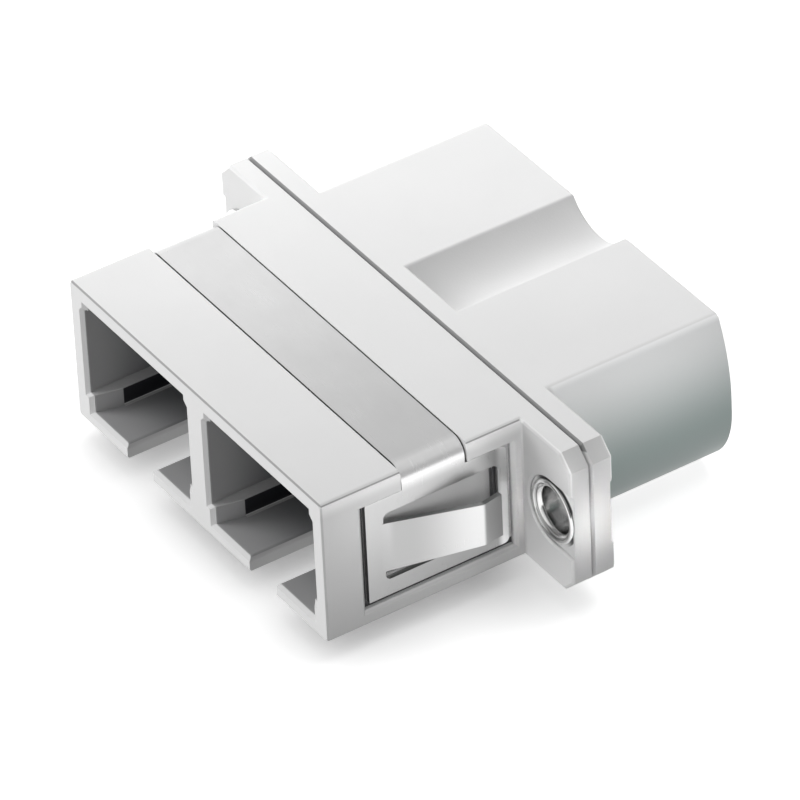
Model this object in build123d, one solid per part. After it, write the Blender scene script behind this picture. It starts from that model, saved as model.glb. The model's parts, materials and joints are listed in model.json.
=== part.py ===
from build123d import *
from math import sqrt
import os

# Hybrid fibre adapter: two push-pull ports in front, one wide grooved receptacle behind.
# Millimetres. X runs to the right, Y to the rear and Z up.
# The origin lies midway between the two panel holes, where the two flange plates meet.

# The two mouldings, outside
body_width = 25.8
body_height = 9.5
front_reach = 14.3
rear_reach = 13.0
long_edge_round = 0.3
front_edge_bevel = 0.1

# The flange, one plate on each moulding
flange_width = 35.2
flange_corner = 0.92
front_plate = 1.25
rear_plate = 1.6
plate_bevel = 0.15
seam_bevel = 0.3
seam_slot_width = 0.08
seam_slot_depth = 0.5
hole_inset = 2.0
eyelet_bore_r = 1.36
eyelet_wall = 0.32
eyelet_rim_r = 1.98
eyelet_rim_height = 0.2
eyelet_flare_r = 1.85
eyelet_flare_height = 0.15
eyelet_step = 0.1
eyelet_clearance = 0.04
rim_pocket_clearance = 0.18
rim_pocket_depth = 0.22
rim_pocket_bevel = 0.1

# The two ports in the front moulding
port_pitch = 12.7
port_height = 7.72
mouth_width = 10.2
plug_width = 9.0
plug_clearance = 0.2
lead_in_length = 1.9
flex_pocket_width = 10.84
flex_pocket_bottom = -2.66
flex_pocket_top = 3.3
flex_pocket_chamfer = 0.22
mouth_bevel = 0.22
key_slot_width = 2.7
key_slot_length = 9.3
key_slot_round = 0.3

# The receptacle shell of the rear moulding
shell_half_width = 12.75
shell_wall = 1.05
shell_bow_r = 12.5
shell_bow_z = -0.6
shell_corner_r = 4.75
shell_corner_z = -1.55
shell_top_round = 0.55
shell_end_bevel = 0.1
cavity_bevel = 0.3
bulkhead = 2.4
groove_width = 5.2
groove_depth = 1.4
groove_edge_round = 0.25
catch_height = 0.7
catch_length = 2.2
catch_span = 4.6
catch_setback = 3.0

# The sheet-metal panel clip, a saddle over the front moulding
sheet = 0.3
clip_sink = 0.1
clip_clearance = 0.03
clip_bend_r = 1.0
band_front = -9.02
band_rear = -4.88
seam_gap = 0.1
side_front = -11.45
side_rear = -2.2
side_bottom = -3.35
side_top = 3.38
side_corner_round = 0.35
recess_front_gap = 0.27
recess_rear_gap = 0.35
recess_bottom_gap = 0.4
recess_bevel = 0.2
window_front = -10.3
window_rear = -2.78
window_half_height = 2.28
window_corner_round = 0.35
relief_depth = 0.35
relief_inset = 0.15

# The spring tongue that snaps behind the panel's edge
tongue_rise = 1.6
tongue_peak = -4.76
tongue_tip = -3.5
tongue_drop = 0.2
tongue_root_half = 1.66
tongue_peak_half = 1.4
tongue_tip_half = 1.42
tongue_root_bend_r = 2.0
tongue_peak_bend_r = 0.55
tongue_root_overlap = 0.4

# The latch insert of each port and the ferrule sleeve that it holds
ferrule_r = 1.25
sleeve_wall = 0.35
sleeve_length = 11.4
sleeve_slit = 0.4
sleeve_play = 0.05
barrel_r = 2.4
barrel_lip = 0.5
barrel_lip_r = 1.45
barrel_chamfer = 0.3
insert_width = 11.4
insert_height = 8.3
insert_clearance = 0.05
latch_plate = 1.6
holder_plate = 1.2
arm_inner = 3.7
arm_thickness = 0.8
arm_width = 4.6
arm_reach = 9.2
barb_depth = 0.65
barb_length = 1.5
arm_root_round = 0.5

half_height = body_height / 2
half_body = body_width / 2
hole_x = flange_width / 2 - hole_inset
port_centres = (-port_pitch / 2, port_pitch / 2)
sides = (("left", -1), ("right", 1))
sleeve_r = ferrule_r + sleeve_wall
side_face = half_body - clip_sink
recess_floor = side_face - sheet - clip_clearance
far = 50


def block(x0, x1, y0, y1, z0, z1):
    """A box between two values on each axis."""
    centre = ((x0 + x1) / 2, (y0 + y1) / 2, (z0 + z1) / 2)
    return Pos(*centre) * Box(x1 - x0, y1 - y0, z1 - z0)


def along_y(section, y0, y1):
    """A section with its x across and its y up, run from y0 to y1."""
    return extrude(Plane.XZ.offset(-y0) * section, amount=y0 - y1)


def across(section, x0, x1):
    """A side section with its x to the rear and its y up, run from x0 to x1."""
    return extrude(Plane.YZ.offset(x0) * section, amount=x1 - x0)


def rod(r, y0, y1, x=0):
    """A round bar along Y through the height of the axis."""
    return along_y(Pos(x, 0) * Circle(r), y0, y1)


def mirrored(shape):
    """The same shape on the other side."""
    return mirror(shape, about=Plane.YZ)


def flange_plate(y0, y1, front_bevel, rear_bevel):
    """A flange plate with cut corners and bevelled rims."""
    outline = chamfer(Rectangle(flange_width, body_height).vertices(), flange_corner)
    plate = along_y(outline, y0, y1)
    by_depth = plate.faces().sort_by(Axis.Y)
    if front_bevel:
        plate = chamfer(by_depth[0].edges(), front_bevel)
        by_depth = plate.faces().sort_by(Axis.Y)
    if rear_bevel:
        plate = chamfer(by_depth[-1].edges(), rear_bevel)
    return plate


def seam_slot():
    """The narrow slot all round between the two plates, behind the bevelled seam."""
    inset = seam_bevel + seam_slot_depth
    seat = chamfer(Rectangle(flange_width - 2 * inset, body_height - 2 * inset).vertices(), flange_corner)
    return along_y(Rectangle(far, far) - seat, 0, seam_slot_width)


def rim_pocket(extra):
    """The outline round an eyelet's rim, open to the side of the right ear."""
    r = eyelet_rim_r + rim_pocket_clearance + extra
    mouth = Pos(hole_x + far / 2, 0) * Rectangle(far, 2 * r)
    return Pos(hole_x, 0) * Circle(r) + mouth


def rim_pockets(face, inward):
    """Both ears' pockets, sunk from a face along Y, with a bevelled edge."""
    pocket = along_y(rim_pocket(0), *sorted((face, face + inward * rim_pocket_depth)))
    wide = Plane.XZ.offset(-face) * rim_pocket(rim_pocket_bevel)
    narrow = Plane.XZ.offset(-face - inward * rim_pocket_bevel) * rim_pocket(0)
    pocket = pocket + loft([wide.face(), narrow.face()], ruled=True)
    return pocket + mirrored(pocket)


def eyelet_holes():
    """The holes that the eyelets pass through, in both plates."""
    r = eyelet_bore_r + eyelet_wall + eyelet_clearance
    holes = [rod(r, -far, far, side * hole_x) for _, side in sides]
    return holes[0] + holes[1]


def port_section(rib_half_width):
    """One port: guide ribs in its corners, flex pockets for the latch arms between them."""
    opening = Rectangle(2 * rib_half_width, port_height)
    middle = (flex_pocket_top + flex_pocket_bottom) / 2
    pocket = Rectangle(flex_pocket_width, flex_pocket_top - flex_pocket_bottom)
    pocket = chamfer(pocket.vertices().group_by(Axis.Y)[-1], flex_pocket_chamfer)
    return opening + Pos(0, middle) * pocket


def port_cavity(x):
    """A port from its mouth to the latch insert, narrowing to the plug's width."""
    rib = plug_width / 2 + plug_clearance
    start = Plane.XZ.offset(front_reach) * (Pos(x, 0) * port_section(mouth_width / 2))
    end = Plane.XZ.offset(front_reach - lead_in_length) * (Pos(x, 0) * port_section(rib))
    lead_in = loft([start.face(), end.face()], ruled=True)
    straight = along_y(Pos(x, 0) * port_section(rib), lead_in_length - front_reach, 0)
    return lead_in + straight


def mouth_cutter(x):
    """The bevel round a port's mouth, apart from its upper edge."""
    section = Pos(x, 0) * port_section(mouth_width / 2)
    wide = Plane.XZ.offset(front_reach) * offset(section, mouth_bevel, kind=Kind.INTERSECTION)
    narrow = Plane.XZ.offset(front_reach - mouth_bevel) * section
    bevel = loft([wide.face(), narrow.face()], ruled=True)
    return bevel & block(-far, far, -far, far, -far, port_height / 2)


def key_slot(x):
    """The slot for a plug's key through a port's floor, with rounded upper edges."""
    floor = -port_height / 2
    half = key_slot_width / 2
    outline = Pos(x, (floor - half_height) / 2) * Rectangle(key_slot_width, half_height + floor)
    flare = Pos(x, floor) * Rectangle(key_slot_width + 2 * key_slot_round, 2 * key_slot_round)
    for side in (-1, 1):
        flare = flare - Pos(x + side * (half + key_slot_round), floor - key_slot_round) * Circle(key_slot_round)
    return along_y(outline + flare, -front_reach, key_slot_length - front_reach)


def insert_pocket(x, depth, inward):
    """The seat of an insert's plate, open at the parting plane."""
    width = insert_width + 2 * insert_clearance
    height = insert_height + 2 * insert_clearance
    far_side = inward * (depth + insert_clearance)
    return along_y(Pos(x, 0) * Rectangle(width, height), *sorted((0, far_side)))


def clip_seat():
    """What the clip takes out of the front moulding: a channel over the top and a recess on each side."""
    top = half_height - sheet - clip_clearance
    core = Rectangle(2 * recess_floor, 2 * top)
    core = fillet(core.vertices().group_by(Axis.Y)[-1], clip_bend_r - sheet)
    lip = side_top + seam_gap
    outside = Pos(0, lip + far / 2) * Rectangle(far, far)
    channel = along_y(outside - core, band_front - seam_gap, band_rear + seam_gap)
    y0 = side_front - recess_front_gap
    y1 = side_rear + recess_rear_gap
    z0 = side_bottom - recess_bottom_gap
    recess = block(recess_floor, far, y0, y1, z0, lip)
    bevel = loft(
        [
            Plane.YZ.offset(half_body) * side_rectangle(y0 - recess_bevel, y1 + recess_bevel, z0 - recess_bevel, lip),
            Plane.YZ.offset(half_body - recess_bevel) * side_rectangle(y0, y1, z0, lip),
        ],
        ruled=True,
    )
    relief = across(window_outline(relief_inset), recess_floor - relief_depth, far)
    right = recess + bevel + relief
    return channel + right + mirrored(right)


def side_rectangle(y0, y1, z0, z1):
    """A rectangle on a side plane, between two values each way."""
    return (Pos((y0 + y1) / 2, (z0 + z1) / 2) * Rectangle(y1 - y0, z1 - z0)).face()


def window_outline(inset):
    """The window of the clip's side plate, seen from the side."""
    length = window_rear - window_front - inset
    middle = (window_rear - inset + window_front) / 2
    outline = RectangleRounded(length, 2 * (window_half_height - inset), window_corner_round)
    return Pos(middle, 0) * outline


def front_housing():
    """The moulding with the two ports and the front flange plate."""
    body = block(-half_body, half_body, -front_reach, 0, -half_height, half_height)
    body = fillet(body.edges().filter_by(Axis.Y), long_edge_round)
    body = chamfer(body.faces().sort_by(Axis.Y)[0].edges(), front_edge_bevel)
    part = body + flange_plate(-front_plate, 0, plate_bevel, 0)
    for x in port_centres:
        part = part - port_cavity(x) - mouth_cutter(x) - key_slot(x)
        part = part - insert_pocket(x, latch_plate, -1)
    return part - clip_seat() - rim_pockets(-front_plate, 1) - eyelet_holes()


def shell_section(inset):
    """The receptacle's outline, or with an inset the cavity inside its wall."""
    top = half_height - inset
    wide = shell_half_width - inset
    bow = shell_bow_r - inset
    bow_x = shell_half_width - shell_bow_r
    corner = shell_corner_r - inset
    corner_x = shell_half_width - shell_corner_r
    bottom = shell_corner_z - corner
    groove = (groove_width**2 / 4 + groove_depth**2) / (2 * groove_depth) + inset
    groove_z = half_height - groove_depth + groove - inset
    brink = sqrt(groove**2 - (groove_z - top) ** 2)
    shoulder = bow_x + sqrt(bow**2 - (top - shell_bow_z) ** 2)
    slant = sqrt(0.5)
    bow_mid_z = (top + shell_bow_z) / 2
    bow_mid = (bow_x + sqrt(bow**2 - (bow_mid_z - shell_bow_z) ** 2), bow_mid_z)
    corner_mid = (corner_x + slant * corner, shell_corner_z - slant * corner)
    half = [
        ThreePointArc((0, groove_z - groove), groove_point(groove, groove_z, brink / 2), (brink, top)),
        Line((brink, top), (shoulder, top)),
        ThreePointArc((shoulder, top), bow_mid, (wide, shell_bow_z)),
        Line((wide, shell_bow_z), (wide, shell_corner_z)),
        ThreePointArc((wide, shell_corner_z), corner_mid, (corner_x, bottom)),
        Line((corner_x, bottom), (0, bottom)),
        Line((0, bottom), (0, groove_z - groove)),
    ]
    right = make_face(half)
    return right + mirror(right, about=Plane.YZ)


def groove_point(r, centre_z, x):
    """The groove's surface at a distance from the middle."""
    return (x, centre_z - sqrt(r**2 - x**2))


def receptacle_shell():
    """The shell's outside, with its rounded brinks."""
    section = shell_section(0)
    top_points = section.vertices().filter_by_position(Axis.Y, half_height - 0.01, half_height + 0.01)
    by_width = top_points.sort_by(Axis.X)
    section = fillet([by_width[0], by_width[-1]], shell_top_round)
    brinks = section.vertices().filter_by_position(Axis.Y, half_height - 0.01, half_height + 0.01)
    brinks = [v for v in brinks if abs(v.X) < groove_width / 2 + 0.01]
    section = fillet(brinks, groove_edge_round)
    shell = along_y(section, seam_bevel, rear_reach)
    return chamfer(shell.faces().sort_by(Axis.Y)[-1].edges(), shell_end_bevel)


def catch(side):
    """A latch catch on a side wall of the receptacle: a ramp towards the mouth, a step behind."""
    wall = shell_half_width - shell_wall / 2
    tip = shell_half_width - shell_wall - catch_height
    y1 = rear_reach - catch_setback
    y0 = y1 - catch_length
    outline = make_face(Polyline((wall, y0), (tip, y0), (tip, y0 + catch_length / 3), (wall, y1), close=True))
    ramp = extrude(Plane.XY.offset(shell_bow_z - catch_span / 2) * outline, amount=catch_span)
    return ramp if side > 0 else mirrored(ramp)


def rear_housing():
    """The moulding with the receptacle, its bulkhead and the rear flange plate."""
    part = flange_plate(0, rear_plate, seam_bevel, plate_bevel) - seam_slot() + receptacle_shell()
    part = part - along_y(shell_section(shell_wall), bulkhead, rear_reach)
    wide = Plane.XZ.offset(-rear_reach) * shell_section(shell_wall - cavity_bevel)
    narrow = Plane.XZ.offset(cavity_bevel - rear_reach) * shell_section(shell_wall)
    part = part - loft([wide.face(), narrow.face()], ruled=True)
    for x in port_centres:
        part = part - insert_pocket(x, holder_plate, 1)
        part = part - rod(barrel_r + insert_clearance, 0, bulkhead, x)
    part = part - rim_pockets(rear_plate, -1) - eyelet_holes()
    for _, side in sides:
        part = part + catch(side)
    return part


def barrel(x, plate, inward):
    """Half of the sleeve's holder: a barrel on a seated plate, with a lip that keeps the sleeve in."""
    reach = sleeve_length / 2 + sleeve_play
    tip = reach + barrel_lip
    seat = along_y(Pos(x, 0) * Rectangle(insert_width, insert_height), *sorted((0, inward * plate)))
    tube = rod(barrel_r, *sorted((0, inward * tip)), x)
    end = tube.faces().sort_by(Axis.Y)[-1 if inward > 0 else 0]
    tube = chamfer(end.edges(), barrel_chamfer)
    bore = rod(sleeve_r + sleeve_play, *sorted((0, inward * reach)), x)
    lip = rod(barrel_lip_r, *sorted((0, inward * tip)), x)
    return seat + tube - bore - lip


def latch_arm():
    """One latch arm, right of the port's axis, with its barb pointing in."""
    outer = arm_inner + arm_thickness
    tip = -arm_reach
    barb = arm_inner - barb_depth
    outline = Polyline(
        (outer, -latch_plate),
        (outer, tip),
        (arm_inner, tip),
        (barb, tip + barb_length / 2),
        (barb, tip + 0.7 * barb_length),
        (arm_inner, tip + barb_length),
        (arm_inner, -latch_plate),
        close=True,
    )
    arm = extrude(Plane.XY.offset(-arm_width / 2) * make_face(outline), amount=arm_width)
    root = block(arm_inner - arm_root_round, outer, -latch_plate - arm_root_round, -latch_plate, -arm_width / 2, arm_width / 2)
    scoop = Pos(arm_inner - arm_root_round, -latch_plate - arm_root_round) * Cylinder(arm_root_round, far)
    return arm + (root - scoop)


def sc_latch(x):
    """The latch insert of one port: two arms and the front half of the sleeve's holder."""
    arm = latch_arm()
    return barrel(x, latch_plate, -1) + Pos(x, 0) * (arm + mirrored(arm))


def rear_sleeve_holder(x):
    """The rear half of the sleeve's holder."""
    return barrel(x, holder_plate, 1)


def alignment_sleeve(x):
    """The split sleeve that lines two ferrules up."""
    half = sleeve_length / 2
    tube = rod(sleeve_r, -half, half, x) - rod(ferrule_r, -far, far, x)
    slit = block(x - sleeve_slit / 2, x + sleeve_slit / 2, -far, far, 0, far)
    return tube - slit


def eyelet(side):
    """A hollow eyelet through both flange plates, with a rolled rim in front and a flared end behind."""
    front_seat = rim_pocket_depth - front_plate
    rear_seat = rear_plate - rim_pocket_depth
    front = front_seat - eyelet_rim_height
    rear = rear_seat + eyelet_flare_height
    body_r = eyelet_bore_r + eyelet_wall
    rim_corner = eyelet_rim_height / 2
    outline = Polyline(
        (body_r, front_seat),
        (eyelet_rim_r, front_seat),
        (eyelet_rim_r, front + rim_corner),
        (eyelet_rim_r - rim_corner, front),
        (body_r, front),
        (body_r - eyelet_step, front + eyelet_step),
        (eyelet_bore_r, front + eyelet_step + eyelet_wall),
        (eyelet_bore_r, rear - eyelet_wall),
        (body_r, rear),
        (eyelet_flare_r, rear),
        (eyelet_flare_r, rear_seat),
        (body_r, rear_seat),
        close=True,
    )
    return Pos(side * hole_x, 0, 0) * revolve(make_face(outline), Axis.Y)


def tongue():
    """The right side's spring tongue, bent out of the window and cut to its tapered outline."""
    root = window_front - tongue_root_overlap
    path = FilletPolyline(
        (side_face, root),
        (side_face, window_front),
        (side_face + tongue_rise, tongue_peak),
        (side_face + tongue_rise - tongue_drop, tongue_tip),
        radius=[tongue_root_bend_r, tongue_peak_bend_r],
    )
    strip = make_face(offset(path, sheet, side=Side.LEFT))
    strip = extrude(Plane.XY.offset(-far / 2) * strip, amount=far)
    plan = Polyline(
        (root, tongue_root_half),
        (window_front, tongue_root_half),
        (tongue_peak, tongue_peak_half),
        (tongue_tip, tongue_tip_half),
        (tongue_tip, -tongue_tip_half),
        (tongue_peak, -tongue_peak_half),
        (window_front, -tongue_root_half),
        (root, -tongue_root_half),
        close=True,
    )
    return strip & across(make_face(plan), 0, far)


def panel_clip():
    """The clip, folded from one sheet: a band over the top, a windowed plate and a tongue on each side."""
    outer = Pos(0, (half_height + side_bottom) / 2) * Rectangle(2 * side_face, half_height - side_bottom)
    outer = fillet(outer.vertices().group_by(Axis.Y)[-1], clip_bend_r)
    top = half_height - sheet
    inner = Pos(0, (top + side_bottom) / 2) * Rectangle(2 * (side_face - sheet), top - side_bottom)
    inner = fillet(inner.vertices().group_by(Axis.Y)[-1], clip_bend_r - sheet)
    saddle = outer - inner
    plates = along_y(saddle, side_front, side_rear) & block(-far, far, -far, far, -far, side_top)
    rear_edges = plates.edges().filter_by(Axis.X).filter_by_position(Axis.Y, side_rear - 0.01, side_rear + 0.01)
    plates = fillet(rear_edges, side_corner_round)
    clip = along_y(saddle, band_front, band_rear) + plates
    window = across(window_outline(0), 0, far)
    clip = clip - window - mirrored(window)
    blade = tongue()
    return clip + blade + mirrored(blade)


def sub_parts():
    """Every piece of the adapter by its name."""
    yield "front_housing", front_housing()
    yield "rear_housing", rear_housing()
    yield "panel_clip", panel_clip()
    for (name, side), x in zip(sides, port_centres):
        yield "eyelet_" + name, eyelet(side)
        yield "sc_latch_" + name, sc_latch(x)
        yield "rear_sleeve_holder_" + name, rear_sleeve_holder(x)
        yield "alignment_sleeve_" + name, alignment_sleeve(x)


os.makedirs("parts", exist_ok=True)
for node, shape in sub_parts():
    shape.label = node
    export_step(shape, "parts/" + node + ".step")
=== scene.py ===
# %% [markdown]
# This lesson dresses a small fibre-optic adapter. It joins two push-pull plugs in front to one wide
# plug behind, and it sits in a panel, held by a sheet-metal clip or by screws through two eyelets.
# The solids come from the CAD frame, and all but the two eyelets are shown as they are, so the work
# here is mostly light, finish and fine edges. The aim is one view, the photograph's: the lamps and
# many tones below are set for it, and the text names the tones that are painted by place.
# The frame is loaded first and never moved. Its box is kept.

# %% Load the frame
import json
import math

import bpy
from mathutils import Matrix, Vector


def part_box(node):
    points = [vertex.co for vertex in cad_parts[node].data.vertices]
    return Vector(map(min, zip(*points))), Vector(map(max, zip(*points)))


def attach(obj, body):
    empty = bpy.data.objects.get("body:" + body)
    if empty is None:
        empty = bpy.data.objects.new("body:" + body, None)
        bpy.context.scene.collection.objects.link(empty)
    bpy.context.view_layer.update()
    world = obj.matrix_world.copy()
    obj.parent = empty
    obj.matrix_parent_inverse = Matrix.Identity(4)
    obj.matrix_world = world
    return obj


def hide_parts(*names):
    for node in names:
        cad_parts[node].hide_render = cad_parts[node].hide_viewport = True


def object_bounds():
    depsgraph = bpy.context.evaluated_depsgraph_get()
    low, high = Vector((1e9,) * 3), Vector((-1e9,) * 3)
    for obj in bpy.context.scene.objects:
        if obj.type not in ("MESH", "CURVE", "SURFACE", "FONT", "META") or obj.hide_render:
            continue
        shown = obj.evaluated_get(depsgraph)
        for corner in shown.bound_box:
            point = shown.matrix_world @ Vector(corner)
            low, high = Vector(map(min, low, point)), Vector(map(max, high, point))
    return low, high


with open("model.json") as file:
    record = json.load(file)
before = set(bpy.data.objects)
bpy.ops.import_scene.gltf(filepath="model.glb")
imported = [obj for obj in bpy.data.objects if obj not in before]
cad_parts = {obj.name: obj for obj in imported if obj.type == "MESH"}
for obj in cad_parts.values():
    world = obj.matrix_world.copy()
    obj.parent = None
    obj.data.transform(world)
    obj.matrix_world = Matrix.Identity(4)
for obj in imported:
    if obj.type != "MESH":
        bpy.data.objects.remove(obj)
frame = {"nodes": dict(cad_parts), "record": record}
cad_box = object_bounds()
nodes = frame["nodes"]
MM = 0.001
print("nodes:", sorted(nodes))
print("CAD box in mm:", [[round(v / MM, 2) for v in corner] for corner in cad_box])

# %% [markdown]
# The photograph looks down on the adapter from the front and the right, through a long lens, so that
# its edges hardly converge. A camera with the same direction, distance and lens makes the two
# pictures lie over each other, and then every difference is one of shape, light or finish.
# The camera is tilted a little about its own axis too, as the one in the photograph was.

# %% The camera
view_azimuth = math.radians(58.12)
view_elevation = math.radians(37.3)
view_roll = math.radians(-2.89)
view_distance = 470.26 * MM
view_aim = Vector((-1.416, -0.003, -3.274)) * MM
lens_length = 375.05

back = Vector(
    (
        math.sin(view_azimuth) * math.cos(view_elevation),
        -math.cos(view_azimuth) * math.cos(view_elevation),
        math.sin(view_elevation),
    )
)
right = Vector((math.cos(view_azimuth), math.sin(view_azimuth), 0))
above = back.cross(right)
rolled_right = math.cos(view_roll) * right + math.sin(view_roll) * above
rolled_above = back.cross(rolled_right)

camera_data = bpy.data.cameras.new("camera")
camera_data.lens = lens_length
camera_data.sensor_width = 36
camera_data.clip_start = 0.01
camera_data.clip_end = 20
camera = bpy.data.objects.new("camera", camera_data)
bpy.context.scene.collection.objects.link(camera)
axes = Matrix((rolled_right, rolled_above, back)).transposed().to_4x4()
camera.matrix_world = Matrix.Translation(view_aim + back * view_distance) @ axes
bpy.context.scene.camera = camera
print("camera at", [round(v / MM, 1) for v in camera.location], "mm")

# %% [markdown]
# The adapter lies on a plain white table. The table could be a curved backdrop, but a flat plane
# that glows white already fades out of sight, and it has only to show the soft shadow and to be
# mirrored by the metal. It lies level with the foot of the lowest solid.

# %% The table
bpy.ops.object.select_all(action="DESELECT")
table_size = 4.0
bpy.ops.mesh.primitive_plane_add(size=table_size, location=(0, 0, cad_box[0].z))
table = bpy.context.object
table.name = "table"
print("table at", round(cad_box[0].z / MM, 2), "mm")

# %% [markdown]
# Shader maths is easier to read as sums than as boxes and cords. The class Wire wraps one socket of
# a node tree, so that an expression such as 0.3 + 0.1 * grain adds the Math nodes that it needs.
# The class Board holds the tree, of a material or the sky, and its add method makes any other node
# from its type, its settings and what goes into its sockets. Finish is the board of a material.

# %% Helpers for materials
class Wire:
    """One output socket on a board, for use in sums."""

    def __init__(self, board, socket):
        self.board = board
        self.socket = socket

    def maths(self, operation, first, second):
        return self.board.add("Math", {"operation": operation}, {0: first, 1: second})

    def __add__(self, other):
        return self.maths("ADD", self, other)

    def __sub__(self, other):
        return self.maths("SUBTRACT", self, other)

    def __rsub__(self, other):
        return self.maths("SUBTRACT", other, self)

    def __mul__(self, other):
        return self.maths("MULTIPLY", self, other)

    def __abs__(self):
        return self.maths("ABSOLUTE", self, 0)

    __radd__ = __add__
    __rmul__ = __mul__


def grey(value):
    """An opaque colour with its three parts alike."""
    return (value, value, value, 1)


class Board:
    """The node tree of a material or a sky, and ways to add nodes to it."""

    def __init__(self, tree):
        self.tree = tree

    def feed(self, socket, value):
        if isinstance(value, Wire):
            self.tree.links.new(value.socket, socket)
        else:
            socket.default_value = value

    def add(self, kind, settings=None, values=None, output=0):
        node = self.tree.nodes.new("ShaderNode" + kind)
        for name, value in (settings or {}).items():
            setattr(node, name, value)
        for socket, value in (values or {}).items():
            self.feed(node.inputs[socket], value)
        return Wire(self, node.outputs[output])

    def blend(self, share, first, second):
        """A colour between two colours."""
        return self.add("Mix", {"data_type": "RGBA"}, {0: share, 6: first, 7: second}, output=2)

    def ramp(self, value, low, high):
        """0 below one value, 1 above another, and smooth in between."""
        settings = {"interpolation_type": "SMOOTHSTEP"}
        return self.add("MapRange", settings, {"Value": value, "From Min": low, "From Max": high})

    def band(self, value, low, high, soft=0.04):
        """1 between two values and 0 outside them, with soft ends."""
        return self.ramp(value, low - soft, low) * (1 - self.ramp(value, high, high + soft))


class Finish(Board):
    """A material with one main shader."""

    def __init__(self, name, **constants):
        self.material = bpy.data.materials.new(name)
        self.material.use_nodes = True
        super().__init__(self.material.node_tree)
        self.shader = self.tree.nodes["Principled BSDF"]
        for socket, value in constants.items():
            self.shader.inputs[socket.replace("_", " ")].default_value = value

    def vary(self, socket, value):
        self.feed(self.shader.inputs[socket], value)

    def place(self, stretch=(1, 1, 1)):
        """Places on the object in millimetres, stretched along the axes."""
        spot = self.add("TexCoord", output="Object")
        return self.add("Mapping", {}, {"Vector": spot, "Scale": [s / MM for s in stretch]})

    def axis(self, letter):
        """The distance along one axis in millimetres."""
        return self.add("SeparateXYZ", {}, {"Vector": self.place()}, output=letter)

    def facing(self, letter):
        """How far the face looks along one axis, from -1 to 1."""
        normal = self.add("NewGeometry", output="Normal")
        return self.add("SeparateXYZ", {}, {"Vector": normal}, output=letter)

    def noise(self, size, detail=2.0, stretch=(1, 1, 1)):
        """Noise from 0 to 1, with lumps of about a size in millimetres."""
        values = {"Vector": self.place(stretch), "Scale": 1 / size, "Detail": detail}
        return self.add("TexNoise", {}, values)

    def edges(self, radius):
        """1 along the edges, 0 on the faces between them, by how far a softened normal leans there."""
        softened = self.add("Bevel", {"samples": 8}, {"Radius": radius * MM})
        plain = self.add("NewGeometry", output="Normal")
        cosine = self.add("VectorMath", {"operation": "DOT_PRODUCT"}, {0: softened, 1: plain}, output="Value")
        return self.ramp(cosine, 0.995, 0.93)

    def distance(self, spot, centre):
        """How far a place is from a centre, in millimetres."""
        return self.add("VectorMath", {"operation": "DISTANCE"}, {0: spot, 1: centre}, output="Value")

    def openness(self, reach):
        """1 where nothing stands within a reach in millimetres, towards 0 in gaps and corners."""
        values = {"Distance": reach * MM}
        return self.add("AmbientOcclusion", {"samples": 8}, values, output="AO")

    def relief(self, height, depth, edge_r=0):
        """Bumps of a depth in millimetres, over edges softened by a radius."""
        values = {"Height": height, "Distance": depth * MM}
        if edge_r:
            values["Normal"] = self.add("Bevel", {"samples": 4}, {"Radius": edge_r * MM})
        self.vary("Normal", self.add("Bump", {}, values))


# %% [markdown]
# Both housings are taken to be moulded in a pale grey plastic with a satin skin. Up close such a
# skin is never even, so the finish has two noises: a fine one for grain, and a broad one that drifts
# through colour and gloss. Two masks bring out the form: outer edges get a painted highlight, and
# seams and narrow gaps a painted shade. Both are painted to follow the photograph, and so is a painted
# shade on the plates' corner cuts at the upper right and the lower left. Masks read the shape and the
# place on the object, and never the camera.

# %% Housing plastic
front_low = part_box("front_housing")[0]
rear_low, rear_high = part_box("rear_housing")
mouth = front_low.y / MM
pale_skin = (grey(0.7), grey(0.75))
drift_size = 6
grain_size = 0.12
grain_depth = 0.004
# Tones of the painted highlight on outer edges and of the painted shade in gaps and on corner cuts.
edge_highlight = grey(0.95)
edge_share = 0.25
edge_width = 0.03
edge_openness = (0.6, 0.8)
gap_shade = (0.04, 0.04, 0.042, 1)
gap_reach = 0.5
gap_openness = (0.42, 0.12)
corner_shade = grey(0.62)
corner_slant = (0.4, 0.48)
corner_reach = (15, 15.2)


def housing_plastic(name, paint_shade):
    """Pale satin plastic. The function passed in paints one housing's shade and highlight by place."""
    finish = Finish(name, IOR=1.5)
    drift = finish.noise(drift_size, detail=3)
    grain = finish.noise(grain_size, detail=4)
    skin = paint_shade(finish, finish.blend(drift, *pale_skin))
    # Painted shade in seams, gaps and corner cuts, and a painted highlight on the outer edges.
    openness = finish.openness(gap_reach)
    shaded = finish.blend(finish.ramp(openness, *gap_openness), skin, gap_shade)
    corner = finish.ramp(finish.facing("X") * finish.facing("Z"), *corner_slant)
    corner = corner * finish.ramp(abs(finish.axis("X")), *corner_reach)
    shaded = finish.blend(corner, shaded, corner_shade)
    outer_edges = finish.edges(edge_width) * finish.ramp(openness, *edge_openness)
    finish.vary("Base Color", finish.blend(outer_edges * edge_share, shaded, edge_highlight))
    finish.vary("Roughness", 0.3 + 0.1 * drift + 0.06 * grain)
    finish.relief(grain, grain_depth, edge_r=edge_width)
    return finish.material


# %% [markdown]
# In the photograph the right side of the front housing is pale along its top and greyer at its foot,
# and fine grey lines follow its edges. Here that is a painted highlight along the top, painted shade
# towards the foot and painted shade lines on the edges, by place on the object and alike on both sides.
# The right ear alone gets painted shade too, darker at its top than at its foot. It is so in the
# photograph, where its top is darker still. A real moulding has one even colour, and under other
# light these tones stay as they are.

# %% Painted highlight and shade of the sides and the right ear
side_x = 12.9
side_end = -1.3
side_shoulder = 3.7
side_top = 4.65
# Painted highlight along the tops of the sides, painted shade at their foot, on the ear and on edges.
side_top_highlight = grey(0.97)
side_fade = (-1, -4.6)
side_foot_shade = grey(0.66)
ear_front = -1.2
ear_half_height = 4
ear_shade_tones = (grey(0.85), grey(0.52))
front_edge_width = (0.12, 0.07)
outline_shade = grey(0.33)


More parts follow.
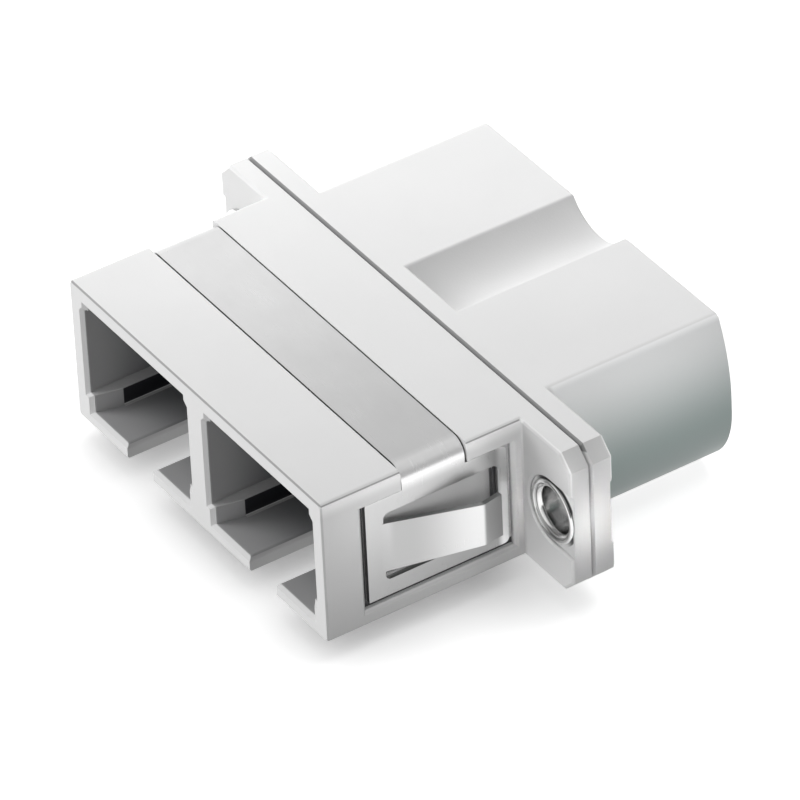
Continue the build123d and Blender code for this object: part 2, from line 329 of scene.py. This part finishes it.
def side_painted_shade(finish, skin):
    """Painted highlight and shade on the side walls and right ear, top to foot, and shade lines on edges."""
    across = abs(finish.axis("X"))
    along = finish.axis("Y")
    height = finish.axis("Z")
    on_side = finish.band(across, side_x - 0.1, side_x + 0.05)
    on_side = on_side * finish.ramp(along, side_end + 0.1, side_end)
    skin = finish.blend(on_side * finish.ramp(height, side_shoulder, side_top), skin, side_top_highlight)
    on_ear = finish.ramp(finish.axis("X"), side_x + 0.1, side_x + 0.3)
    on_ear = on_ear * finish.ramp(along, ear_front + 0.1, ear_front)
    ear = finish.blend(finish.ramp(height, -ear_half_height, ear_half_height), *ear_shade_tones)
    skin = finish.blend(on_ear, skin, ear)
    front_edge = finish.ramp(along - mouth, *front_edge_width)
    top_edge = finish.ramp(height, side_top - 0.02, side_top + 0.03)
    side_edge = finish.ramp(across, side_x - 0.12, side_x - 0.07)
    side_edge = side_edge * finish.ramp(along, side_end, side_end - 0.1)
    top_line = on_side * finish.ramp(height, side_top - 0.05, side_top + 0.01)
    shade_lines = front_edge * top_edge + top_line + 0.4 * front_edge * side_edge
    skin = finish.blend(on_side * finish.ramp(height, *side_fade), skin, side_foot_shade)
    return finish.blend(shade_lines, skin, outline_shade)


# %% [markdown]
# Dark gaps set the clip and the eyelet off from the plastic in the photograph. Here they are painted
# shade too: in front of and below the clip's plate, at the rear end of its window, and in the upper
# right of the pocket round the right eyelet. The floor behind the window gets a painted middle grey shade.

# %% Painted shade of the gaps
outward_start = 5
recess_x = 12.47
relief_x = 12.12
plate_front = -11.45
plate_foot = -3.35
window_rear = -2.78
window_half_height = 2.4
window_shade = grey(0.6)
hole_x = 15.6
pocket_r = 2.17
pocket_reach = 17.4
pocket_rear = -0.9


def gap_painted_shade(finish, skin):
    """Painted shade behind the clip's window, in the gaps by its plate and in the right eyelet's pocket."""
    across = abs(finish.axis("X"))
    along = finish.axis("Y")
    height = finish.axis("Z")
    # Painted shade behind the window, by the plate, at the window's end and in the eyelet's pocket.
    outwards = finish.ramp(finish.axis("X") * finish.facing("X"), outward_start, outward_start + 1)
    behind_window = outwards * finish.band(across, relief_x - 0.1, relief_x + 0.1)
    skin = finish.blend(behind_window, skin, window_shade)
    recess = outwards * finish.band(across, recess_x - 0.05, recess_x + 0.08)
    past_plate = finish.ramp(along, plate_front, plate_front - 0.04)
    past_plate = past_plate + finish.ramp(height, plate_foot, plate_foot - 0.04)
    skin = finish.blend(recess * past_plate, skin, gap_shade)
    window_end = finish.band(across, relief_x + 0.05, recess_x)
    window_end = window_end * finish.band(height, -window_half_height, window_half_height)
    window_end = window_end * finish.ramp(along, window_rear - 0.2, window_rear - 0.15)
    window_end = window_end * finish.ramp(along, window_rear + 0.3, window_rear + 0.2)
    skin = finish.blend(window_end, skin, gap_shade)
    from_axis = finish.distance(finish.place((1, 0, 1)), (hole_x, 0, 0))
    pocket = finish.ramp(from_axis, pocket_r, pocket_r - 0.04)
    pocket = pocket * finish.ramp(finish.axis("X") + height, hole_x - 0.6, hole_x + 0.6)
    pocket = pocket * finish.ramp(finish.axis("X"), pocket_reach + 0.1, pocket_reach)
    pocket = pocket * finish.ramp(along, pocket_rear, pocket_rear - 0.1)
    return finish.blend(pocket, skin, gap_shade)


# %% [markdown]
# The ports look much darker than the outside in the photograph, and darkest on the walls of the
# guides that lead the plug in. Here that is painted shade: the colour falls from a middle grey to a
# dark one with the depth, and masks pick the walls out by their place on the object. The top of each
# guide gets painted light, and a fine line at the foot of its wall a painted highlight. These shades
# aren't the plastic's own colour either.

# %% Painted shade inside the ports
port_pitch = 12.7
port_half_width = 5.9
port_top = 4.3
guide_width = 4.7
guide_top = -2.66
port_floor = -3.86
lead_in = 1.9
port_depth = 5
mouth_shade = (0.47, 0.47, 0.475, 1)
deep_shade = (0.17, 0.173, 0.18, 1)
guide_top_light = (grey(0.6), (0.42, 0.42, 0.425, 1))
guide_wall_shade = (0.008, 0.009, 0.012, 1)
guide_foot_highlight = grey(0.6)


# Painted shade that deepens into each port, with painted light on the guides' tops and feet.
def port_painted_shade(finish, skin):
    skin = gap_painted_shade(finish, side_painted_shade(finish, skin))
    across = abs(abs(finish.axis("X")) - port_pitch / 2)
    height = finish.axis("Z")
    depth = finish.axis("Y") - mouth
    deep = finish.ramp(depth, 0.2, port_depth)
    outwards = finish.axis("X") * finish.facing("X")
    outwards = finish.ramp(abs(finish.axis("X")), side_x - 1, side_x - 0.9) * outwards
    within = finish.ramp(across, port_half_width, port_half_width - 0.1) * finish.ramp(outwards, 0.1, 0)
    within = within * finish.band(height, port_floor - 0.04, port_top) * finish.ramp(depth, 0.15, 0.35)
    wall = finish.blend(deep, mouth_shade, deep_shade)
    beside_guide = finish.ramp(across, guide_width - 0.05, guide_width + 0.05)
    on_top = finish.band(height, guide_top - 0.03, guide_top + 0.03) * beside_guide
    wall = finish.blend(on_top, wall, finish.blend(deep, *guide_top_light))
    on_guide = finish.ramp(across, guide_width - 0.2, guide_width - 0.15)
    on_guide = on_guide * finish.ramp(depth, lead_in, lead_in + 0.05)
    guide_wall = on_guide * finish.band(height, port_floor + 0.1, guide_top - 0.08)
    guide_foot = on_guide * finish.band(height, port_floor + 0.02, port_floor + 0.07)
    wall = finish.blend(guide_wall, wall, guide_wall_shade)
    wall = finish.blend(guide_foot, wall, guide_foot_highlight)
    return finish.blend(within, skin, wall)


# %% [markdown]
# The inside of the receptacle is hidden in the photograph, and is painted with a shade like the
# ports'. Its side walls bow outwards, so the mask that keeps the outside pale follows the bow.
# Outside, those walls get a painted highlight at the shoulder and painted shade down to a dark grey
# at the foot, with a touch of green and blue, and the seam's bevel gets a painted grey shade, to come
# near the photograph's colours.

# %% Painted shade of the receptacle
shell_centre = (rear_low.z + rear_high.z) / 2 / MM
shell_half_width = 12.2
cavity_half_height = 5
bow_r = 12.5
groove_reach = 3.2
groove_floor = 3.2
cavity_fade = (0.3, 6)
cavity_shade_tones = ((0.4, 0.41, 0.41, 1), (0.12, 0.13, 0.13, 1))
side_facing = (0.3, 0.5)
shell_front = 1.6
shell_side = 8
shell_shoulder = 4.7
shell_foot = -1.7
shoulder_highlight = (0.93, 0.94, 0.94, 1)
cool_foot_shade = (0.36, 0.435, 0.42, 1)
seam_bevel = 0.3
seam_shade = grey(0.25)
seam_height = 4.3


# Painted shade in the cavity and on the seam's bevel, and painted highlight to shade on the outer walls.
def receptacle_painted_shade(finish, skin):
    across = abs(finish.axis("X"))
    along = finish.axis("Y")
    height = finish.axis("Z")
    lift = height - shell_centre
    sag = lift * lift * (0.5 / bow_r)
    depth = rear_high.y / MM - along
    within = finish.ramp(across + sag, shell_half_width, shell_half_width - 0.1)
    within = within * finish.ramp(abs(lift), cavity_half_height + 0.1, cavity_half_height)
    within = within * finish.ramp(depth, 0.2, 0.4)
    groove = finish.ramp(across, groove_reach, groove_reach - 0.1)
    within = within * (1 - groove * finish.ramp(height, groove_floor, groove_floor + 0.1))
    wall = finish.blend(finish.ramp(depth, *cavity_fade), *cavity_shade_tones)
    beside = finish.ramp(abs(finish.facing("X")), *side_facing)
    beside = beside * finish.ramp(along, shell_front, shell_front + 0.3)
    beside = beside * finish.ramp(across, shell_side, shell_side + 1)
    lit_to_shaded = finish.blend(finish.ramp(height, shell_shoulder, shell_foot), shoulder_highlight, cool_foot_shade)
    skin = finish.blend(beside, skin, lit_to_shaded)
    seam = finish.ramp(along, seam_bevel + 0.02, seam_bevel - 0.02)
    seam = seam * finish.ramp(height, seam_height, seam_height + 0.1)
    skin = finish.blend(seam, skin, seam_shade)
    return finish.blend(within, skin, wall)


# %% Both housings
front_plastic = housing_plastic("front_housing_plastic", port_painted_shade)
rear_plastic = housing_plastic("rear_housing_plastic", receptacle_painted_shade)
print("housings:", front_plastic.name, "and", rear_plastic.name)


# %% [markdown]
# The latch inserts and the sleeve holders can't be seen in the photograph. They are guessed to be a
# dark plastic, which hardly shows in the shaded ports. A fine grain varies its gloss, and softened
# edges catch a little light.

# %% Insert plastic
insert_tones = ((0.02, 0.02, 0.022, 1), (0.035, 0.035, 0.037, 1))


def insert_plastic():
    finish = Finish("insert_plastic", IOR=1.5)
    drift = finish.noise(3, detail=3)
    grain = finish.noise(0.1, detail=4)
    finish.vary("Base Color", finish.blend(drift, *insert_tones))
    finish.vary("Roughness", 0.4 + 0.15 * grain)
    finish.relief(grain, 0.004, edge_r=0.06)
    return finish.material


# %% [markdown]
# The clip is taken to be rolled spring steel. Rolling leaves long fine lines along the strip, which
# runs from side to side over the housing, so the noise is stretched along X and Z and left fine
# along Y. The lines feed the roughness and a very shallow relief, and a broad drift clouds the gloss.
# One sheet has one colour. In the photograph the band over the top is mostly paler than the plate at
# the side, and the tongue brightens up to its kink. Here much of that is painted highlight and painted
# reflection: the base colour changes from left to right on the band, and from the band to its bends,
# the plates and the tongues.

# %% Rolled spring steel
line_size = 0.05
line_stretch = (0.04, 1, 0.04)
line_depth = 0.0015
cloud_size = 2.5
cloud_share = 0.06
cloud_tone = grey(0.3)
# The tones below are painted highlight, reflection and shade on one sheet of steel.
band_reach = (-13, 13)
band_reflection_tones = (grey(0.98), grey(0.64))
band_foot = (3.1, 4.1)
bend_reach = (11.6, 12.2)
bend_highlight = grey(0.88)
plate_reach = (-3.5, 3.5)
plate_shade_tones = (grey(0.37), grey(0.54))
plate_end = (-3, -2.5)
plate_end_highlight = grey(0.95)
tongue_rise = (12.85, 13)
tongue_reach = (13.2, 14.4)
tongue_reflection_tones = (grey(0.42), grey(0.72))
tongue_kink = -4.76
tail_shade = grey(0.33)


def spring_steel():
    finish = Finish("rolled_steel", Metallic=1.0)
    lines = finish.noise(line_size, detail=3, stretch=line_stretch)
    clouds = finish.noise(cloud_size, detail=3)
    across = abs(finish.axis("X"))
    along = finish.axis("Y")
    height = finish.axis("Z")
    # Painted reflection and highlight on the band, bends and tongue, painted shade on the plates and tail.
    top = finish.blend(finish.ramp(finish.axis("X"), *band_reach), *band_reflection_tones)
    top = finish.blend(finish.ramp(across, *bend_reach), top, bend_highlight)
    plate = finish.blend(finish.ramp(height, *plate_reach), *plate_shade_tones)
    plate = finish.blend(finish.ramp(along, *plate_end), plate, plate_end_highlight)
    tongue = finish.blend(finish.ramp(across, *tongue_reach), *tongue_reflection_tones)
    tongue = finish.blend(finish.ramp(along, tongue_kink - 0.1, tongue_kink + 0.1), tongue, tail_shade)
    plate = finish.blend(finish.ramp(across, *tongue_rise), plate, tongue)
    steel = finish.blend(finish.ramp(height, *band_foot), plate, top)
    finish.vary("Base Color", finish.blend(clouds * cloud_share, steel, cloud_tone))
    finish.vary("Roughness", 0.2 + 0.12 * lines + 0.08 * clouds)
    finish.relief(lines, line_depth, edge_r=0.04)
    return finish.material


# %% [markdown]
# The eyelets are taken to be nickel plated, from their look. Two noises, a broad and a fine one, vary
# a gloss that is near a mirror's. The bore gets a painted dark reflection towards its top and its
# foot, and so does a fine line at the rim's step, to come nearer to the photograph.

# %% Nickel plate
nickel_tones = (grey(0.7), (0.8, 0.8, 0.79, 1))
dark_reflection_tone = grey(0.35)
bore_edge = (1.5, 1.4)
bore_start = (-1, -0.8)
bore_ends = (0.3, 1.2)
step_low = 1.64
step_high = 1.68
step_share = 0.8


def nickel_plate():
    finish = Finish("nickel_plate", Metallic=1.0)
    clouds = finish.noise(0.9, detail=3)
    grain = finish.noise(0.06, detail=3)
    bright = finish.blend(clouds, *nickel_tones)
    either_side = finish.add("VectorMath", {"operation": "ABSOLUTE"}, {0: finish.place((1, 0, 1))})
    radius = finish.distance(either_side, (hole_x, 0, 0))
    in_bore = finish.ramp(radius, *bore_edge) * finish.ramp(finish.axis("Y"), *bore_start)
    # Painted dark reflection towards the bore's top and foot, and on a fine line at the rim's step.
    bright = finish.blend(in_bore * finish.ramp(abs(finish.axis("Z")), *bore_ends), bright, dark_reflection_tone)
    step = finish.band(radius, step_low, step_high)
    finish.vary("Base Color", finish.blend(step * step_share, bright, dark_reflection_tone))
    finish.vary("Roughness", 0.1 + 0.1 * clouds + 0.04 * grain)
    finish.relief(grain, 0.0002)
    return finish.material


# %% [markdown]
# The alignment sleeves are hidden, and taken to be polished zirconia: white with a hint of warmth,
# and glossy.

# %% Zirconia
zirconia_tones = ((0.8, 0.78, 0.74, 1), (0.86, 0.85, 0.82, 1))


def zirconia():
    finish = Finish("zirconia", IOR=2.1)
    clouds = finish.noise(1.5, detail=2)
    finish.vary("Base Color", finish.blend(clouds, *zirconia_tones))
    finish.vary("Roughness", 0.12 + 0.06 * clouds)
    finish.relief(clouds, 0.001)
    return finish.material


# %% [markdown]
# The table is matt white card, with a trace of paper tooth. Most of its white is its own glow, which
# stands for a backdrop lit apart. A mask of openness takes the glow away close to the adapter, as a
# contact shadow. The mask fades out from in front of the flange to behind it, because the photograph
# has hardly any shadow behind: that is a choice, and not the work of the lamps.

# %% Table card
table_glow = 0.75
card_tones = (grey(0.86), grey(0.88))
shade_end = 4
shade_reach = 6


def table_card():
    finish = Finish("table_card", IOR=1.4, Emission_Strength=table_glow)
    in_front = finish.ramp(finish.axis("Y"), shade_end, -shade_end)
    shade = (1 - finish.openness(shade_reach)) * in_front
    finish.vary("Emission Color", finish.blend(shade, grey(1), grey(0)))
    tooth = finish.noise(0.8, detail=3)
    finish.vary("Base Color", finish.blend(tooth, *card_tones))
    finish.vary("Roughness", 0.8 + 0.1 * tooth)
    return finish.material


# %% [markdown]
# An eyelet has a rolled rim, a small step, and a smooth throat into the bore. The CAD solid has them
# with flat bevels, so a finer one is drawn out ring by ring, as on a lathe: a circle is extruded, and
# each new ring is moved along the axis and scaled to its radius. A subdivision surface then rounds
# the profile. It keeps the solid's own reach in every direction.

# %% Profile of an eyelet
eyelet_low, eyelet_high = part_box("eyelet_right")
eyelet_x = (eyelet_low.x + eyelet_high.x) / 2 / MM
eyelet_front = eyelet_low.y / MM
eyelet_rear = eyelet_high.y / MM
rim_r = (eyelet_high.x - eyelet_low.x) / 2 / MM
bore_r = 1.36
body_r = 1.68
flare_r = 1.85
rim_thickness = 0.2
flare_thickness = 0.15
eyelet_profile = [
    (body_r, eyelet_front + rim_thickness),
    (rim_r - 0.05, eyelet_front + rim_thickness),
    (rim_r, eyelet_front + rim_thickness - 0.02),
    (rim_r, eyelet_front + 0.08),
    (rim_r - 0.05, eyelet_front + 0.01),
    (rim_r - 0.13, eyelet_front),
    (body_r + 0.07, eyelet_front),
    (body_r + 0.03, eyelet_front + 0.02),
    (body_r, eyelet_front + 0.1),
    (body_r - 0.04, eyelet_front + 0.12),
    (body_r - 0.12, eyelet_front + 0.13),
    (bore_r + 0.1, eyelet_front + 0.2),
    (bore_r + 0.02, eyelet_front + 0.36),
    (bore_r, eyelet_front + 0.5),
    (bore_r, eyelet_rear - 0.4),
    (bore_r + 0.04, eyelet_rear - 0.2),
    (body_r - 0.1, eyelet_rear - 0.03),
    (body_r, eyelet_rear),
    (flare_r - 0.05, eyelet_rear),
    (flare_r, eyelet_rear - 0.04),
    (flare_r, eyelet_rear - flare_thickness),
    (body_r, eyelet_rear - flare_thickness),
]
print("eyelet:", len(eyelet_profile), "rings")
print("eyelet from y", round(eyelet_front, 2), "to", round(eyelet_rear, 2), "mm")


# %% Draw out the right eyelet
def draw_out(profile, x, name):
    """A closed solid of revolution round Y, from its radii and places along the axis in millimetres."""
    radius, y = profile[0]
    bpy.ops.object.select_all(action="DESELECT")
    turn = (math.radians(90), 0, 0)
    bpy.ops.mesh.primitive_circle_add(
        vertices=48, radius=radius * MM, location=(x * MM, y * MM, 0), rotation=turn
    )
    piece = bpy.context.object
    piece.name = name
    bpy.ops.object.transform_apply(location=True, rotation=True, scale=True)
    bpy.ops.object.mode_set(mode="EDIT")
    bpy.ops.mesh.select_all(action="SELECT")
    for next_radius, next_y in profile[1:] + profile[:1]:
        growth = next_radius / radius
        bpy.ops.mesh.extrude_edges_move(TRANSFORM_OT_translate={"value": (0, (next_y - y) * MM, 0)})
        bpy.ops.transform.resize(value=(growth, 1, growth), center_override=(x * MM, next_y * MM, 0))
        radius, y = next_radius, next_y
    bpy.ops.mesh.select_all(action="SELECT")
    bpy.ops.mesh.remove_doubles(threshold=0.002 * MM)
    bpy.ops.mesh.normals_make_consistent(inside=False)
    bpy.ops.object.mode_set(mode="OBJECT")
    rounding = piece.modifiers.new("rounding", "SUBSURF")
    rounding.levels = 1
    rounding.render_levels = 1
    bpy.ops.object.modifier_apply(modifier=rounding.name)
    bpy.ops.object.shade_smooth()
    return piece


turned_right = draw_out(eyelet_profile, eyelet_x, "turned_eyelet_right")
print("eyelet faces:", len(turned_right.data.polygons))

# %% [markdown]
# The left eyelet is a copy with its own mesh, moved over by the distance between the two holes.

# %% Copy the eyelet
bpy.ops.object.select_all(action="DESELECT")
turned_right.select_set(True)
bpy.context.view_layer.objects.active = turned_right
bpy.ops.object.duplicate()
turned_left = bpy.context.object
turned_left.name = "turned_eyelet_left"
bpy.ops.transform.translate(value=(-2 * eyelet_x * MM, 0, 0))
bpy.ops.object.transform_apply(location=True, rotation=True, scale=True)
for piece, node in ((turned_right, "eyelet_right"), (turned_left, "eyelet_left")):
    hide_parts(node)
    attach(piece, "root")
print("the eyelets are", round(2 * eyelet_x, 2), "mm apart")

# %% [markdown]
# Each CAD node gets the finish of the slot that the record names for it. The two housings share a
# slot, but each has a finish of its own, because their painted tones differ. Only the node's own
# material slots are filled, so its mesh keeps its shape.

# %% Give every node its finish
finishes = {
    "spring_steel": spring_steel(),
    "plated_eyelet": nickel_plate(),
    "insert": insert_plastic(),
    "sleeve": zirconia(),
}
housings = {"front_housing": front_plastic, "rear_housing": rear_plastic}
for entry in frame["record"]["subparts"]:
    mesh = nodes[entry["node"]].data
    mesh.materials.clear()
    mesh.materials.append(housings.get(entry["node"]) or finishes[entry["material_slot"]])
    print(entry["node"], "wears", mesh.materials[0].name)
for piece in (turned_left, turned_right):
    piece.data.materials.append(finishes["plated_eyelet"])
table.data.materials.append(table_card())


# %% [markdown]
# In the photograph the upper faces fade from nearly white on the left to a light grey on the right.
# A small lamp low on the left stands near enough for its strength to fall off over the length of the
# part. Another small one stands high and to the rear, a weak one on the right, and a larger one
# farther off in front and to the left. Their strengths began as a least-squares fit of single renders
# to the photograph, and were then changed. Light linking keeps these lamps off the table,
# which has a lamp of its own that reaches nothing else. No lamp shows in a reflection, so the metal
# mirrors only the sky, the table and the adapter itself.

# %% Lamps
on_adapter = bpy.data.collections.new("on_adapter")
on_adapter.objects.link(table)
on_adapter.collection_objects[0].light_linking.link_state = "EXCLUDE"
on_table = bpy.data.collections.new("on_table")
on_table.objects.link(table)


def soft_light(name, place, size, power, aim=(0, 0, 0), reaches=on_adapter):
    """A square area light, with its place and what it looks at in millimetres."""
    lamp = bpy.data.lights.new(name, "AREA")
    lamp.shape = "SQUARE"
    lamp.size = size * MM
    lamp.energy = power
    holder = bpy.data.objects.new(name, lamp)
    bpy.context.scene.collection.objects.link(holder)
    holder.location = Vector(place) * MM
    holder.rotation_mode = "QUATERNION"
    holder.rotation_quaternion = (Vector(place) - Vector(aim)).to_track_quat("Z", "Y")
    holder.light_linking.receiver_collection = reaches
    holder.visible_camera = False
    holder.visible_glossy = False
    return holder


soft_light("left_low", (-50, 0, 25), 30, 0.0115, aim=(0, 0, 4))
soft_light("over_left", (-10, 34, 72), 20, 0.025, aim=(0, 0, 4))
soft_light("over_right", (72, 34, 10), 20, 0.004, aim=(0, 0, 4))
soft_light("front_left", (-80, -100, 60), 60, 0.06)
soft_light("table_light", (0, 30, 120), 120, 0.06, reaches=on_table)

# %% [markdown]
# The right sides are bright along their upper edge and fade downwards. Strip lights give a part of
# that: one hangs a few millimetres off each housing's side, at about the height of the top, and
# looks down at the wall, so that it hardly touches the upper face. The flange's end face, which is
# nearly white at its top in the photograph, has a third one, farther off and with a narrow beam.
# These lamps are a device of this scene, and say nothing about how the photograph was lit.

# %% Strip lights
def strip_light(name, place, width, length, power, aim, spread=180):
    """A long narrow light that runs along Y."""
    holder = soft_light(name, place, width, power, aim)
    holder.data.shape = "RECTANGLE"
    holder.data.size_y = length * MM
    holder.data.spread = math.radians(spread)
    outward = (Vector(place) - Vector(aim)).normalized()
    sideways = Vector((0, 1, 0)).cross(outward).normalized()
    turned = Matrix((sideways, outward.cross(sideways), outward)).transposed()
    holder.rotation_quaternion = turned.to_quaternion()
    return holder


strip_light("port_side_strip", (19, -8, 4.2), 1.5, 12, 0.00027, aim=(12.9, -8, 2))
strip_light("shell_side_strip", (20, 7.5, 4.2), 1.5, 10, 0.00021, aim=(12, 7.5, 2))
strip_light("flange_strip", (60, 0.2, 6), 3, 4, 0.000038, aim=(17, 0.2, 0), spread=8)

# %% [markdown]
# The sky stands for the room. A wall is a lobe round one direction: full in its middle, and fading
# smoothly away from it. Over the adapter stands an arch of light from left to right, a little to the
# rear, which the clip's band and its bends mirror towards the photograph's camera. Seen from straight
# above, the band mirrors darker sky and turns grey. Walls and arch both go on below the table, and the
# table neither lights nor shades the adapter, so they light it from below too, as no real table would.

# %% Sky
world = bpy.data.worlds.new("studio")
bpy.context.scene.world = world
world.use_nodes = True
sky = Board(world.node_tree)
looking = sky.add("TexCoord", output="Generated")


def wall(direction, brightness, edge):
    """A lobe of light round a direction, which ends where the cosine falls to the edge."""
    towards = tuple(Vector(direction).normalized())
    cosine = sky.add("VectorMath", {"operation": "DOT_PRODUCT"}, {0: looking, 1: towards}, output="Value")
    return brightness * sky.ramp(cosine, edge, 1)


front_wall = wall((0, -1, 0.15), 1, 0.2)
left_wall = wall((-1, 0, 0.15), 0.59, 0.2)
to_the_right = sky.add("SeparateXYZ", {}, {"Vector": looking}, output="X")
to_the_rear = sky.add("SeparateXYZ", {}, {"Vector": looking}, output="Y")
arch_left = 0.45
arch_rise = 0.5
arch_fall = 0.35
arch = arch_left + arch_rise * sky.ramp(to_the_right, -0.65, -0.1)
arch = arch - arch_fall * sky.ramp(to_the_right, 0.5, 0.9)
arch = arch * sky.ramp(to_the_rear, 0.15, 0.36) * sky.ramp(to_the_rear, 0.69, 0.48)
background = world.node_tree.nodes["Background"]
background.inputs["Color"].default_value = (1, 1, 1, 1)
sky.feed(background.inputs["Strength"], front_wall + left_wall + arch)
table.visible_diffuse = False
table.visible_shadow = False
bpy.context.scene.view_settings.view_transform = "Standard"
